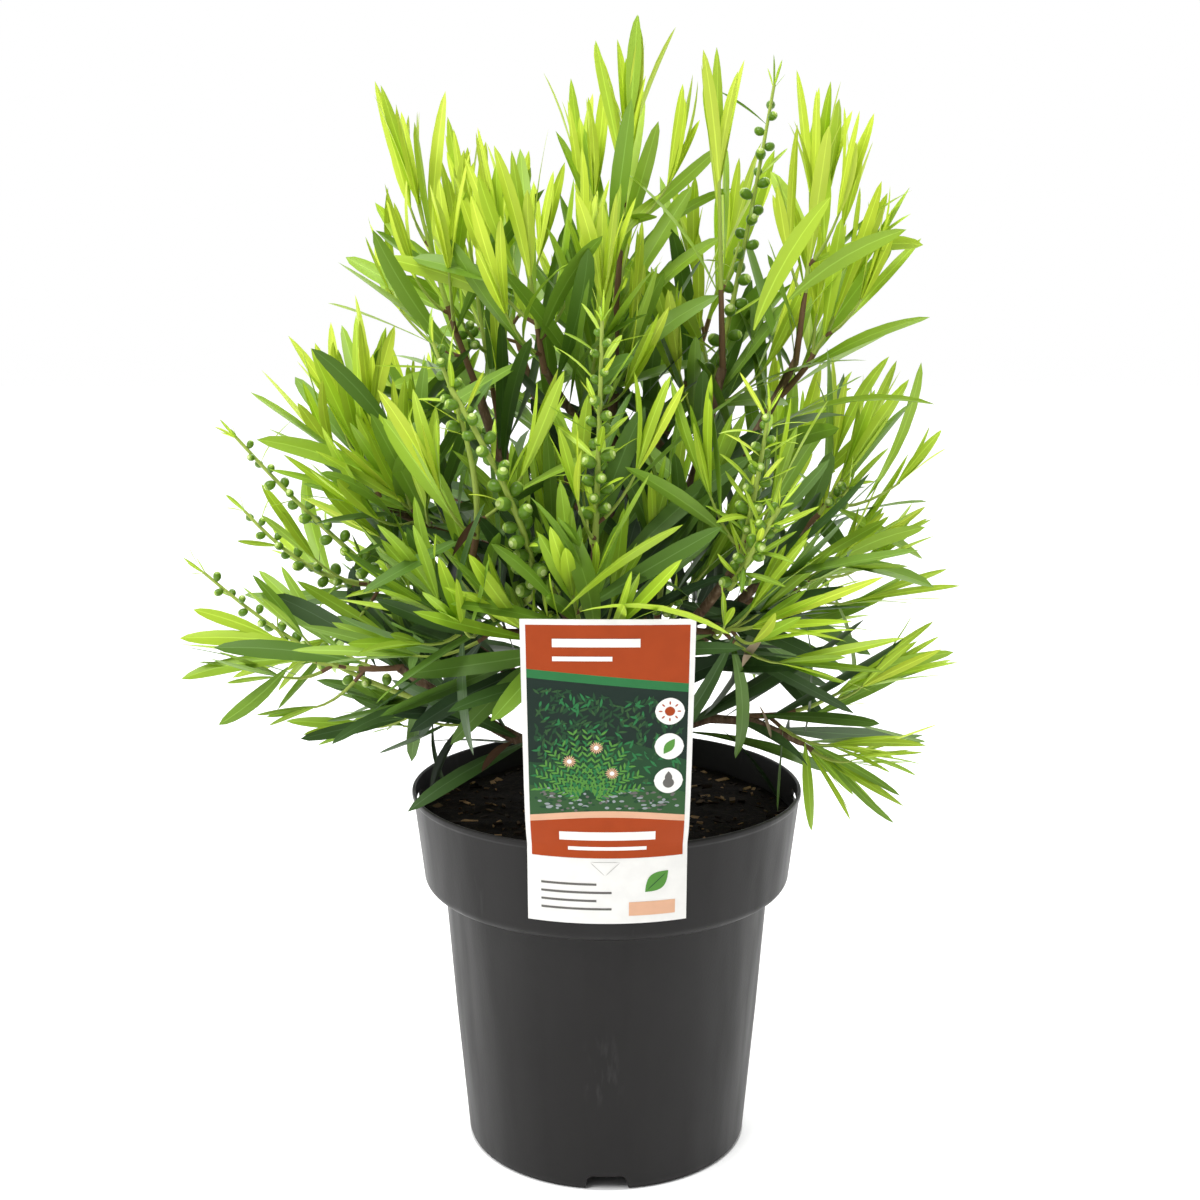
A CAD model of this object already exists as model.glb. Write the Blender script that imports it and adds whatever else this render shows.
"""The looks of a young bottlebrush shrub in a round nursery pot, with a plant label on its rim.

Sizes and places are in millimetres, in the model's own frame: the pot stands on z = 0 with its axis
on z, and the label faces -Y. MM turns them into metres.
"""

import math
import random

import bmesh
import bpy
import numpy as np
from mathutils import Matrix, Vector, noise


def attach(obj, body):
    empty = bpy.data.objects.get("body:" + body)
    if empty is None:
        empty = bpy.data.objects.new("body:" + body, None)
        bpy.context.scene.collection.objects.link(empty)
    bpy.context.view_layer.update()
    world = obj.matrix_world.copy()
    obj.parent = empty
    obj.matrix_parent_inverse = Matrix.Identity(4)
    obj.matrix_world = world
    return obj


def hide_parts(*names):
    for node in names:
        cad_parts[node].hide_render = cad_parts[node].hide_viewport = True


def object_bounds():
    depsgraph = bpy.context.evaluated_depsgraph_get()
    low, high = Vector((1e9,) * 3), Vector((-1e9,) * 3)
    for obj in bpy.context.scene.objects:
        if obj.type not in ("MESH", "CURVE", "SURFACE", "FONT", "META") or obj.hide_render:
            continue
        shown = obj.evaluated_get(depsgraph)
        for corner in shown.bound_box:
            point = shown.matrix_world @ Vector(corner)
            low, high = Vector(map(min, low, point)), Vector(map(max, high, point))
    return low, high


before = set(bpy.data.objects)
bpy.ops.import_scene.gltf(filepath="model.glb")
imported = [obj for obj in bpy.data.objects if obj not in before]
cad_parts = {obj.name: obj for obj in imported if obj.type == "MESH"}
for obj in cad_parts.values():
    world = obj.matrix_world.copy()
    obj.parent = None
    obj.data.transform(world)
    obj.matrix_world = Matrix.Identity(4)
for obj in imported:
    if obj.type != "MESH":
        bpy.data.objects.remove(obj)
cad_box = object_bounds()

# Millimetres in metres, the source's gap between its solids, and how far leaves may pass its box
MM = 0.001
CLEAR = 0.3
BOX_MARGIN = 3.0
BOX_LOW = np.array(cad_box[0]) - BOX_MARGIN * MM
BOX_HIGH = np.array(cad_box[1]) + BOX_MARGIN * MM
UP = Vector((0.0, 0.0, 1.0))
GOLDEN_ANGLE = math.radians(137.5)

# The camera that took the photograph
CAMERA_PLACE = (-3.35, -844.0, 446.7)
CAMERA_PITCH = math.radians(10.90)
CAMERA_LENS = 50.9
SENSOR = 36.0

# The studio's light: the floor's own glow, the room's light before and behind the plant, and the lamps,
# each with its place in metres, size and power
FLOOR_REACH = 6.0
FLOOR_GLOW = 0.42
FRONT_LIGHT = 0.085
ROOM_LIGHT = 1.08
BRIGHT_SIDE = (-0.26, 1.0, 0.0)
DIM_TO, BRIGHT_FROM = -0.92, 0.1
LAMPS_AIM = Vector((0.0, 0.0, 0.3))
LAMPS = (
    ("key_light", (-0.8, -0.9, 1.9), 1.0, 31.0),
    ("fill_light", (1.1, -1.0, 1.5), 0.9, 2.5),
    ("back_light", (0.3, 1.2, 1.8), 1.2, 17.0),
)

# The pot: a 200 mm nursery pot with a deep collar
POT_HEIGHT = 188.0
RIM_RADIUS = 100.0
RIM_BEAD = 0.8
BEAD_DEPTH = 3.4
WALL = 1.8
COLLAR_FOOT_Z = 138.0
COLLAR_FOOT_RADIUS = 94.4
COLLAR_ROUNDING = 5.5
BODY_TOP_RADIUS = 84.4
BODY_FOOT_RADIUS = 73.0
FOOT_RADIUS = 71.5
FOOT_CHAMFER = 3.0
FLOOR = 2.0
DRAIN_INNER_RADIUS = 52.0
DRAIN_OUTER_RADIUS = 68.0
DRAIN_HEIGHT = 8.0
NOTCHES = 2
NOTCH_FOOT_WIDTH = 22.0
NOTCH_TOP_WIDTH = 16.0
NOTCH_HEIGHT = 7.6
SLOT_WIDTH = 18.0
SLOT_LOW = 178.0
SLOT_HIGH = 182.0
SLOTS = 4
POT_SIDES = 160

# How far inside the ring and the rim the notches and slots are cut from, and how deep
NOTCH_FROM, NOTCH_DEPTH = 3.0, 10.0
SLOT_FROM, SLOT_DEPTH = 9.0, 14.0

# The small roundings of the rim's lip, the drain's edge and the notches' upper corners, and the
# angle from which an edge of the pot looks sharp
LIP = 0.9
DRAIN_EDGE = 0.4
NOTCH_CORNER = 1.6
SHARP_EDGE = math.radians(32)

# Where the pot is rubbed, how far that reaches sideways, and how much less its height counts
RUB_PLACE = (-2.0, -77.0, 66.0)
RUB_REACH = 12.0
RUB_STRETCH = 0.45

# The potting mix: the level and ripple of its top, its mesh, and the bark chips that lie on it
SOIL_LEVEL = 175.0
SOIL_RIPPLE = 1.9
SOIL_RINGS = 46
SOIL_SIDES = 132
SOIL_CORE = 0.5
SOIL_EDGE = 96.6
CHIPS = 420
CHIPS_TO = 93.0
CHIP_LENGTH = (2.0, 9.5)
CHIP_TINTS = ((0.008, 0.005, 0.003), (0.016, 0.010, 0.006), (0.055, 0.034, 0.016), (0.19, 0.12, 0.06))

# The label
LABEL_WIDTH = 75.5
LABEL_THICKNESS = 0.6
LABEL_FOOT_Z = 149.0
LABEL_TOP_Z = 302.0
LABEL_TOP_REACH = 136.0
LABEL_STANDOFF = 0.6
LABEL_FLATTEN = 5.0
LABEL_BEND = 7.0
LABEL_ROWS = 90
LABEL_COLUMNS = 24
TONGUE_WIDTH = 13.0
TONGUE_REACH = 10.0
TONGUE_THICKNESS = 0.9
PRINT_STEP = 0.05
PRINT_HALF_WIDTH = LABEL_WIDTH / 2 - 2.4
LABEL_HEIGHT = LABEL_TOP_Z - LABEL_FOOT_Z

# The trunk, from the potting mix to its fork
TRUNK_FOOT = Vector((-3.0, 2.0, SOIL_LEVEL + CLEAR))
TRUNK_TOP = Vector((2.0, 8.0, 262.0))
TRUNK_RADIUS = 7.6
TRUNK_TOP_RADIUS = 5.4
TRUNK_FLARE = 3.6

# Each bough: what it grows from, how far along that, its end, its radius at both ends, and its bow
BOUGHS = {
    "left_bough": ("trunk", 0.20, (-104, -14, 252), 3.8, 2.2, 0.03),
    "right_low_bough": ("trunk", 0.24, (98, -16, 214), 2.8, 1.9, -0.20),
    "back_right_bough": ("trunk", 0.30, (76, 86, 312), 3.6, 2.2, 0.05),
    "front_bough": ("trunk", 0.36, (-6, -84, 318), 3.6, 2.2, 0.10),
    "back_left_bough": ("trunk", 0.45, (-72, 86, 314), 3.6, 2.2, 0.06),
    "left_mid_bough": ("trunk", 0.53, (-110, 4, 292), 3.6, 2.2, 0.04),
    "right_bough": ("trunk", 0.60, (102, 12, 320), 3.6, 2.2, 0.05),
    "front_left_bough": ("trunk", 0.66, (-62, -72, 318), 3.4, 2.2, 0.06),
    "back_bough": ("trunk", 0.72, (2, 84, 376), 3.8, 2.2, 0.12),
    "front_right_bough": ("trunk", 0.76, (60, -72, 314), 3.4, 2.2, 0.06),
    "left_rise_bough": ("trunk", 0.85, (-66, 6, 394), 4.0, 2.4, 0.10),
    "right_rise_bough": ("trunk", 0.92, (58, 12, 400), 4.2, 2.4, 0.12),
    "leader_bough": ("trunk", 1.0, (4, 14, 424), 4.4, 2.4, 0.02),
    "upper_left_bough": ("left_rise_bough", 0.50, (-108, -26, 336), 2.6, 1.9, 0.04),
    "upper_centre_bough": ("leader_bough", 0.62, (-30, -26, 402), 2.4, 1.8, 0.08),
    "upper_right_bough": ("right_rise_bough", 0.58, (94, 8, 404), 2.8, 2.0, 0.08),
    "back_rise_left_bough": ("leader_bough", 0.28, (-42, 62, 396), 2.8, 2.0, 0.10),
    "back_rise_right_bough": ("leader_bough", 0.44, (46, 62, 398), 2.8, 2.0, 0.10),
}
TRUNK_SEGMENTS = 6
BOUGH_SEGMENTS = 4

# The bark's mesh: the length of its rings, its relief as a share of the limb's radius, and how much
# wider a bough is at its foot
BARK_RING = 2.6
BARK_RELIEF = 0.16
BOUGH_FLARE = 0.8

# Each mass: the bough it ends, how far along it, the furthest tip of its leaves, and its bow
MASSES = {
    "left_low_foliage": ("left_bough", 1.0, (-208, -40, 270), 0.06),
    "left_low_spike": ("left_bough", 0.66, (-214, -6, 306), 0.03),
    "left_under_foliage": ("left_bough", 0.40, (-150, 44, 230), -0.05),
    "left_mid_spike": ("left_mid_bough", 1.0, (-196, 12, 334), 0.03),
    "left_high_spike": ("left_mid_bough", 0.62, (-190, -22, 378), 0.05),
    "left_upper_foliage": ("upper_left_bough", 1.0, (-140, -34, 412), 0.05),
    "left_front_foliage": ("upper_left_bough", 0.50, (-132, -78, 368), 0.05),
    "top_left_foliage": ("left_rise_bough", 1.0, (-107, -10, 534), 0.06),
    "top_left_inner_foliage": ("left_rise_bough", 0.74, (-80, 40, 524), 0.08),
    "top_foliage": ("leader_bough", 1.0, (15, 0, 567), 0.03),
    "top_inner_foliage": ("leader_bough", 0.70, (-18, 44, 543), 0.10),
    "top_front_left_foliage": ("upper_centre_bough", 1.0, (-44, -40, 502), 0.05),
    "top_front_foliage": ("upper_centre_bough", 0.45, (6, -66, 486), 0.08),
    "top_right_inner_foliage": ("right_rise_bough", 1.0, (51, -20, 550), 0.04),
    "top_right_spike": ("right_rise_bough", 0.80, (86, 34, 552), 0.06),
    "top_right_foliage": ("upper_right_bough", 1.0, (106, -8, 536), 0.05),
    "right_high_foliage": ("upper_right_bough", 0.86, (148, 8, 488), 0.10),
    "right_mid_foliage": ("right_bough", 1.0, (146, -18, 392), 0.08),
    "right_foliage": ("right_bough", 0.66, (168, 24, 322), 0.05),
    "right_low_foliage": ("right_low_bough", 0.74, (174, -12, 256), 0.08),
    "right_droop_foliage": ("right_low_bough", 1.0, (148, -34, 186), -0.06),
    "front_left_spike": ("front_left_bough", 1.0, (-79, -92, 430), 0.06),
    "front_left_foliage": ("front_left_bough", 0.62, (-118, -112, 306), 0.04),
    "front_spike": ("front_bough", 1.0, (-2, -110, 440), 0.08),
    "front_inner_left_foliage": ("front_left_bough", 0.34, (-32, -62, 376), 0.08),
    "front_inner_right_foliage": ("front_right_bough", 0.34, (36, -62, 380), 0.08),
    "front_foliage": ("front_bough", 0.64, (-24, -150, 344), 0.05),
    "front_right_spike": ("front_right_bough", 1.0, (73, -100, 400), 0.07),
    "front_right_foliage": ("front_right_bough", 0.62, (108, -112, 296), 0.04),
    "back_left_foliage": ("back_left_bough", 1.0, (-134, 136, 386), 0.07),
    "back_left_low_foliage": ("back_left_bough", 0.62, (-128, 140, 278), 0.03),
    "back_foliage": ("back_bough", 1.0, (-10, 160, 452), 0.08),
    "back_mid_foliage": ("back_bough", 0.50, (-4, 176, 330), 0.05),
    "back_right_foliage": ("back_right_bough", 1.0, (140, 128, 392), 0.07),
    "back_right_low_spike": ("back_right_bough", 0.62, (142, 128, 280), 0.03),
    "back_top_left_foliage": ("back_rise_left_bough", 1.0, (-72, 92, 500), 0.06),
    "back_top_right_foliage": ("back_rise_right_bough", 1.0, (80, 88, 508), 0.05),
}

# The crown's outline: at each height, how far its leaves reach to the left, right, front and back
CROWN = (
    (178, 96, 156, 60, 90),
    (205, 140, 166, 100, 130),
    (235, 186, 176, 116, 160),
    (265, 218, 184, 142, 184),
    (305, 226, 180, 160, 194),
    (345, 212, 174, 162, 188),
    (385, 200, 164, 152, 174),
    (425, 152, 158, 134, 160),
    (470, 126, 160, 108, 142),
    (505, 120, 144, 88, 120),
    (535, 118, 120, 68, 96),
    (555, 80, 100, 50, 70),
    (574, 46, 62, 40, 46),
)
FAR_OUT = 9.0

# How each mass grows. The first three twigs are the source's, and the finer ones come between them.
# Wood is brown up to a share of its length
SEED = 8
STEM_RADIUS = 1.7
STEM_TIP_RADIUS = 0.8
STEM_SEGMENTS = 3
SPIKE_SEGMENTS = 8
SOURCE_LEAF = 60.0
SOURCE_SPIKE_LEAF = 36.0
LEAF_BEYOND_STEM = 0.95
TWIG_RADIUS = 1.1
TWIG_TIP_RADIUS = 0.55
TWIG_SHARES = (0.16, 0.34, 0.52)
FINE_TWIG_SHARES = (0.44, 0.66, 0.80)
SPIKE_TWIG_SHARES = (0.05, 0.14, 0.22)
TWIG_LENGTH = 36.0
FINE_TWIG_LENGTH = 26.0
TWIG_LENGTH_SPREAD = 0.15
TWIG_ANGLE = math.radians(40)
FINE_TWIG_ANGLE = math.radians(27)
TWIG_BOW = 0.12
TWIG_TURN = 1.0
TWIG_SEGMENTS = 4
TWIGS_DROPPED = 0.06
STEM_WOOD_TO = 0.45
SPIKE_WOOD_TO = 0.1
TWIG_WOOD_TO = 0.25

# Leaves, each a length and a width: old ones spread from the wood, and young ones stand at the tips
OLD_LEAF = (88.0, 10.2)
YOUNG_LEAF = (63.0, 7.0)
SPIKE_LEAF = (27.0, 3.1)
LEAF_STATIONS = np.array([0.0, 0.09, 0.22, 0.38, 0.54, 0.70, 0.83, 0.93, 1.0])
LEAF_SPACING = 7.6
OLD_LEAN = math.radians(42)
YOUNG_LEAN = math.radians(11)
LEAVES_TO = 0.93
TURN_SPREAD = 0.15
TUFT = 4
TUFT_SHRINK = 0.42
MIDRIB = 0.40

# A leaf's chance: the ranges of its lean, length, width, twist and fold, and the mean and spread of its arch
LEAN_RANGE = (0.7, 1.25)
LENGTH_RANGE = (0.76, 1.14)
WIDTH_RANGE = (0.82, 1.12)
TWIST_RANGE = (-0.6, 0.6)
FOLD_RANGE = (0.05, 0.26)
ARCH = (-0.26, 0.34)
ROLL_SPREAD = 0.5

# Leaves turn upwards between two heights, old and young ones by these amounts, and sink by the last
LIFT_FROM, LIFT_TO = 250.0, 420.0
OLD_LIFT, MORE_YOUNG_LIFT, SINK = 0.28, 0.46, 0.10

# A leaf that points straight to the front is left out, and one that has no room shrinks a few times
FRONTMOST = -0.86
TRIES = 4
SHRINK = 0.86

# Old leaves on the boughs: from where, over what share, and their spacing
BOUGH_LEAVES = (0.32, 0.66, 6.5)

# The outline: how slowly a leaf widens from its foot, and how slowly an old or young one narrows to its tip
LEAF_FOOT = 0.85
OLD_TAPER = 0.54
YOUNG_TAPER = 0.72

# How some masses differ: their fullness, a shift of their tones, and their leaves' width. The shoots at
# the top stand apart, those near the ground are open, and those low on the right have slim leaves
GROWTH = {
    "top_left_foliage": (0.64, 0.0, 0.92),
    "top_left_inner_foliage": (0.52, 0.0, 0.88),
    "top_foliage": (0.56, 0.0, 0.90),
    "top_inner_foliage": (0.46, 0.0, 0.88),
    "top_front_left_foliage": (0.80, 0.0, 1.0),
    "top_front_foliage": (0.76, 0.0, 1.0),
    "top_right_inner_foliage": (0.54, 0.0, 0.88),
    "top_right_foliage": (0.72, 0.0, 0.96),
    "right_high_foliage": (0.88, 0.1, 1.0),
    "right_mid_foliage": (0.70, 0.2, 0.90),
    "right_foliage": (0.62, -0.4, 0.78),
    "right_low_foliage": (0.58, -0.7, 0.72),
    "right_droop_foliage": (0.40, -0.7, 0.62),
    "front_right_spike": (1.0, 0.7, 0.90),
    "front_right_foliage": (0.62, -0.2, 0.80),
    "front_inner_right_foliage": (1.0, 0.3, 1.0),
    "left_low_foliage": (1.0, 0.6, 1.0),
    "left_under_foliage": (0.85, 1.0, 1.0),
    "front_left_foliage": (1.0, 0.5, 1.0),
    "back_top_left_foliage": (0.65, 0.0, 1.0),
    "back_top_right_foliage": (0.65, 0.0, 1.0),
    "back_foliage": (1.2, 0.0, 1.0),
    "back_mid_foliage": (1.2, 0.0, 1.0),
    "back_left_foliage": (1.15, 0.0, 1.0),
    "back_left_low_foliage": (1.15, 0.0, 1.0),
    "back_right_foliage": (0.95, 0.0, 1.0),
}

# Leaf colours from the shoots' tips to the inside of the crown
TONES = (
    ("lime", (0.560, 0.700, 0.050)),
    ("spring", (0.420, 0.600, 0.032)),
    ("fresh", (0.290, 0.465, 0.026)),
    ("green", (0.178, 0.322, 0.024)),
    ("mature", (0.098, 0.200, 0.022)),
    ("dark", (0.046, 0.104, 0.020)),
    ("inner", (0.022, 0.052, 0.016)),
)

# A leaf's tone: a young one's at the crown's outline, and what age, depth and a lower place add
TIP_TONE = 0.85
AGE_TONES = 2.5
DEPTH_TONES = 3.2
LIGHT_TONES = 1.9
TONE_SPREAD = 0.45
LIGHT_FROM, LIGHT_TO = 290.0, 440.0
DARKEST = -0.4

# Flower spikes: small leaves among the buds, size of the buds, where they start, and their spacing
SPIKES = {
    "left_low_spike": (4, 0.94, 0.30, 4.4),
    "left_mid_spike": (5, 0.96, 0.26, 4.4),
    "left_high_spike": (5, 1.00, 0.26, 4.4),
    "top_right_spike": (6, 1.12, 0.24, 5.4),
    "front_left_spike": (8, 1.10, 0.62, 4.0),
    "front_spike": (22, 1.00, 0.22, 3.3),
    "front_right_spike": (20, 0.98, 0.22, 3.5),
    "back_right_low_spike": (6, 1.0, 0.24, 4.4),
}

# How far the middle of some spikes' stems hangs, as a share of their length, and is pushed aside
SPIKE_SAG = {"left_mid_spike": 0.15, "left_low_spike": 0.08}
SPIKE_PUSH = {"front_left_spike": Vector((9.0, -4.0, 0.0))}
SPIKE_ROOM = 7.0
ROOM_FROM = 0.04

# Side shoots with flower spikes: start, the pull of the bow and end, then what SPIKES gives
SIDE_SPIKES = (
    (((-40.0, -50.0, 292.0), (-18.0, -116.0, 314.0), (-69.0, -93.0, 397.0)), (10, 1.22, 0.20, 3.6)),
    (((57.0, -68.0, 303.0), (58.0, -94.0, 312.0), (76.0, -100.0, 345.0)), (16, 0.96, 0.20, 3.4)),
)

# Small sprigs of buds: the stem that each grows on, how far along, its heading and its buds
SPRIGS = (
    ("top_left_inner_foliage", 0.58, (-0.5, -0.6, 0.7), 6),
    ("right_mid_foliage", 0.55, (0.4, -0.8, 0.5), 7),
    ("right_foliage", 0.50, (0.3, -0.8, 0.6), 5),
    ("front_inner_left_foliage", 0.40, (-0.2, -0.9, 0.3), 6),
    ("front_inner_right_foliage", 0.45, (0.3, -0.9, 0.3), 6),
)
SPRIG_LENGTH = 22.0

# Stray leaves: tone, foot, tip, width, bend and roll
STRAY_LEAVES = (
    (5, (-38, -20, 216), (-94, -62, 193.5), 9.5, 0.35, 0.3),
    (4, (88, -26, 226), (84, -44, 187.5), 5.5, 0.2, 1.5),
    (1, (-12, -139, 306), (41, -146, 299), 7, 0.9, 0.4),
    (1, (-20, -132, 304), (30, -128, 340), 8.5, 0.4, 0.5),
    (3, (-20, -104, 299), (-50, -108, 329), 8.5, 0.4, 0.5),
    (2, (-14, -112, 300), (-30, -120, 335), 7, 0.4, 0.3),
    (2, (100, -18, 214), (102, -34, 176), 7.5, 0.5, 0.5),
    (3, (106, -18, 214), (142, -36, 179), 5, -0.3, 1.2),
    (2, (11, -8, 517), (14, -20, 564), 7.5, 0.2, 0.2),
    (3, (2, -20, 458), (11, -34, 524), 10, 0.3, 0.3),
    (1, (5, -4, 507), (-5, -14, 552), 6, 0.4, 0.5),
    (1, (70, -24, 420), (102, -38, 479), 9.5, 0.4, 1.2),
    (2, (88, -10, 434), (138, -24, 465), 9, 0.5, 1.1),
    (3, (-73, -26, 408), (-107, -46, 465), 10, -0.3, 1.3),
    (4, (-98, -40, 366), (-134, -58, 411), 9, 0.4, 1.2),
    (1, (-150, -46, 272), (-203, -54, 276), 8, 0.2, 0.9),
    (1, (-160, -44, 274), (-197, -50, 289), 7, 0.2, 0.8),
    (2, (-150, -46, 264), (-202, -52, 256), 7.5, 0.4, 0.9),
    (3, (-154, -46, 260), (-186, -54, 234), 7.5, -0.3, 1.1),
    (4, (-118, -50, 263), (-184, -62, 273), 10, 0.3, 0.8),
    (2, (120, -22, 247), (169, -32, 264), 8.5, 0.3, 0.9),
    (2, (114, -8, 305), (154, -22, 324), 8, 0.4, 1),
)

# Dead leaves: brown (0) or tan (1), foot, tip, width and bend
DEAD_LEAVES = (
    (0, (-69, -98, 323), (-57, -96, 339), 4.2, 0.5),
    (1, (74, -40, 240), (79, -46, 227), 4.6, 0.8),
    (1, (64, -62, 264), (71, -70, 277), 4, 0.7),
    (0, (-46, -40, 221), (-58, -52, 212), 4, 0.9),
)

# The looks of the other parts of the plant: name, colour, roughness and specular level
PLANT_LOOKS = {
    "twigs": (
        ("twig_wood", (0.17, 0.095, 0.05), 0.8, 0.25),
        ("young_stem", (0.36, 0.46, 0.08), 0.50, 0.35),
    ),
    "dead_leaves": (
        ("dead_brown", (0.085, 0.042, 0.022), 0.75, 0.2),
        ("dead_tan", (0.44, 0.34, 0.23), 0.75, 0.2),
    ),
    "flower_buds": (
        ("bud_green", (0.125, 0.245, 0.020), 0.28, 0.34),
        ("bud_shoulder", (0.310, 0.470, 0.065), 0.30, 0.36),
        ("bud_cap", (0.640, 0.750, 0.300), 0.34, 0.36),
    ),
}

# Buds: their radius and length, where they end on a spike, and the rows and sides of their mesh
BUD_RADIUS = 2.5
BUD_LENGTH = 1.38
BUDS_TO = 0.95
BUD_ROWS, BUD_SIDES = 8, 10
BUD_SLOTS = (0, 0, 0, 0, 0, 1, 2)


def srgb(*channels):
    """A linear colour from eight-bit screen values."""
    shares = [channel / 255 for channel in channels]
    return tuple(((s + 0.055) / 1.055) ** 2.4 if s > 0.04 else s / 12.92 for s in shares)


# Materials


def material(name, colour, roughness, specular):
    made = bpy.data.materials.new(name)
    made.use_nodes = True
    sockets = made.node_tree.nodes["Principled BSDF"].inputs
    sockets["Base Color"].default_value = (*colour, 1.0)
    sockets["Roughness"].default_value = roughness
    sockets["Specular IOR Level"].default_value = specular
    return made


def add_node(owner, kind, inputs, **properties):
    """A node with its properties. Each input takes a value, or the output that feeds it."""
    tree = owner.node_tree
    node = tree.nodes.new(kind)
    for key, value in properties.items():
        setattr(node, key, value)
    for key, value in inputs.items():
        if isinstance(value, bpy.types.NodeSocket):
            tree.links.new(value, node.inputs[key])
        else:
            node.inputs[key].default_value = value
    return node


def own_place(owner, stretch=(1.0, 1.0, 1.0)):
    """The object's own coordinates, in metres, stretched."""
    place = add_node(owner, "ShaderNodeTexCoord", {}).outputs["Object"]
    return add_node(owner, "ShaderNodeMapping", {"Vector": place, "Scale": stretch}).outputs["Vector"]


def noise_of(owner, scale, detail, stretch=(1.0, 1.0, 1.0), roughness=0.55):
    """A noise over the object's own coordinates, in features per metre."""
    inputs = {"Vector": own_place(owner, stretch), "Scale": scale, "Detail": detail, "Roughness": roughness}
    return add_node(owner, "ShaderNodeTexNoise", inputs).outputs["Fac"]


def ramp_of(owner, source, stops):
    """A colour ramp over a value. Each stop is a place and a colour or a grey."""
    ramp = add_node(owner, "ShaderNodeValToRGB", {"Fac": source})
    elements = ramp.color_ramp.elements
    while len(elements) < len(stops):
        elements.new(0.5)
    for element, (place, colour) in zip(elements, stops):
        element.position = place
        element.color = (*colour, 1.0) if isinstance(colour, tuple) else (colour, colour, colour, 1.0)
    return ramp.outputs["Color"]


def mixed(owner, blend, first, second):
    """Two colours, added or multiplied."""
    inputs = {"Factor": 1.0, "A": first, "B": second}
    return add_node(owner, "ShaderNodeMix", inputs, data_type="RGBA", blend_type=blend).outputs["Result"]


def feed(owner, source, socket):
    owner.node_tree.links.new(source, owner.node_tree.nodes["Principled BSDF"].inputs[socket])


def bump_from(owner, source, strength, distance):
    inputs = {"Height": source, "Strength": strength, "Distance": distance}
    feed(owner, add_node(owner, "ShaderNodeBump", inputs).outputs["Normal"], "Normal")


def grained(name, roughness, specular, grain, tones, bump=None):
    """A material whose colour follows a noise, and so does its relief where a bump is given."""
    made = material(name, tones[-1][1], roughness, specular)
    pattern = noise_of(made, *grain)
    feed(made, ramp_of(made, pattern, tones), "Base Color")
    if bump:
        bump_from(made, pattern, *bump)
    return made


def pot_plastic():
    """Satin charcoal plastic with cloudy tone, faint upright scuffs and a fine moulded grain."""
    cloudy = ((0.3, (0.0080, 0.0071, 0.0070)), (0.7, (0.0112, 0.0102, 0.0100)))
    made = material("pot_plastic", cloudy[1][1], 0.40, 0.25)
    tone = ramp_of(made, noise_of(made, 14.0, 5.0), cloudy)
    scuff = noise_of(made, 60.0, 6.0, (1.0, 1.0, 0.12))
    marked = mixed(made, "ADD", tone, ramp_of(made, scuff, ((0.66, 0.0), (0.80, 0.03))))
    feed(made, mixed(made, "ADD", marked, rubbed_spot(made)), "Base Color")
    feed(made, ramp_of(made, scuff, ((0.35, 0.36), (0.75, 0.56))), "Roughness")
    bump_from(made, noise_of(made, 900.0, 3.0), 0.12, 0.0004)
    return made


def rubbed_spot(owner):
    """Grey streaks in one place on the pot's front, where it has been rubbed."""
    x, y, z = (c * MM for c in RUB_PLACE)
    inputs = {0: own_place(owner, (1.0, 1.0, RUB_STRETCH)), 1: (x, y, z * RUB_STRETCH)}
    away = add_node(owner, "ShaderNodeVectorMath", inputs, operation="DISTANCE").outputs["Value"]
    near = ramp_of(owner, away, ((0.0, 1.0), (RUB_REACH * MM, 0.0)))
    streaks = noise_of(owner, 260.0, 3.0, (1.0, 1.0, 0.18))
    return mixed(owner, "MULTIPLY", near, ramp_of(owner, streaks, ((0.54, 0.0), (0.74, 0.030))))


def soil_material():
    """Damp dark crumbs."""
    tones = ((0.32, (0.0015, 0.001, 0.0008)), (0.52, (0.0045, 0.003, 0.002)), (0.78, (0.034, 0.022, 0.011)))
    return grained("soil_mix", 0.95, 0.08, (420.0, 8.0, (1.0, 1.0, 1.0), 0.7), tones, (0.9, 0.0016))


def bark_material():
    """Grey-brown bark, cracked along the limb."""
    tones = ((0.30, (0.050, 0.030, 0.018)), (0.52, (0.150, 0.092, 0.054)), (0.75, (0.33, 0.24, 0.16)))
    return grained("bark", 0.85, 0.25, (260.0, 7.0, (1.0, 1.0, 0.3), 0.65), tones, (0.8, 0.0008))


def print_ink(name, colour):
    """Printed card: satin ink with a slight mottle."""
    dim = tuple(c * 0.94 for c in colour)
    return grained(name, 0.45, 0.14, (120.0, 3.0), ((0.35, dim), (0.65, colour)))


# Meshes


def add_object(name, data):
    made = bpy.data.objects.new(name, data)
    bpy.context.scene.collection.objects.link(made)
    return made


def hand_over(piece, slot, *nodes):
    """A piece rides on the one body, in a material slot, and replaces the source's nodes."""
    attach(piece, "root")
    if nodes:
        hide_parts(*nodes)


def circle(radius, count, height):
    """Points of a level circle. The height may depend on the place."""
    for i in range(count):
        x = radius * math.cos(math.tau * i / count)
        y = radius * math.sin(math.tau * i / count)
        yield x, y, height(x, y) if callable(height) else height


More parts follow.
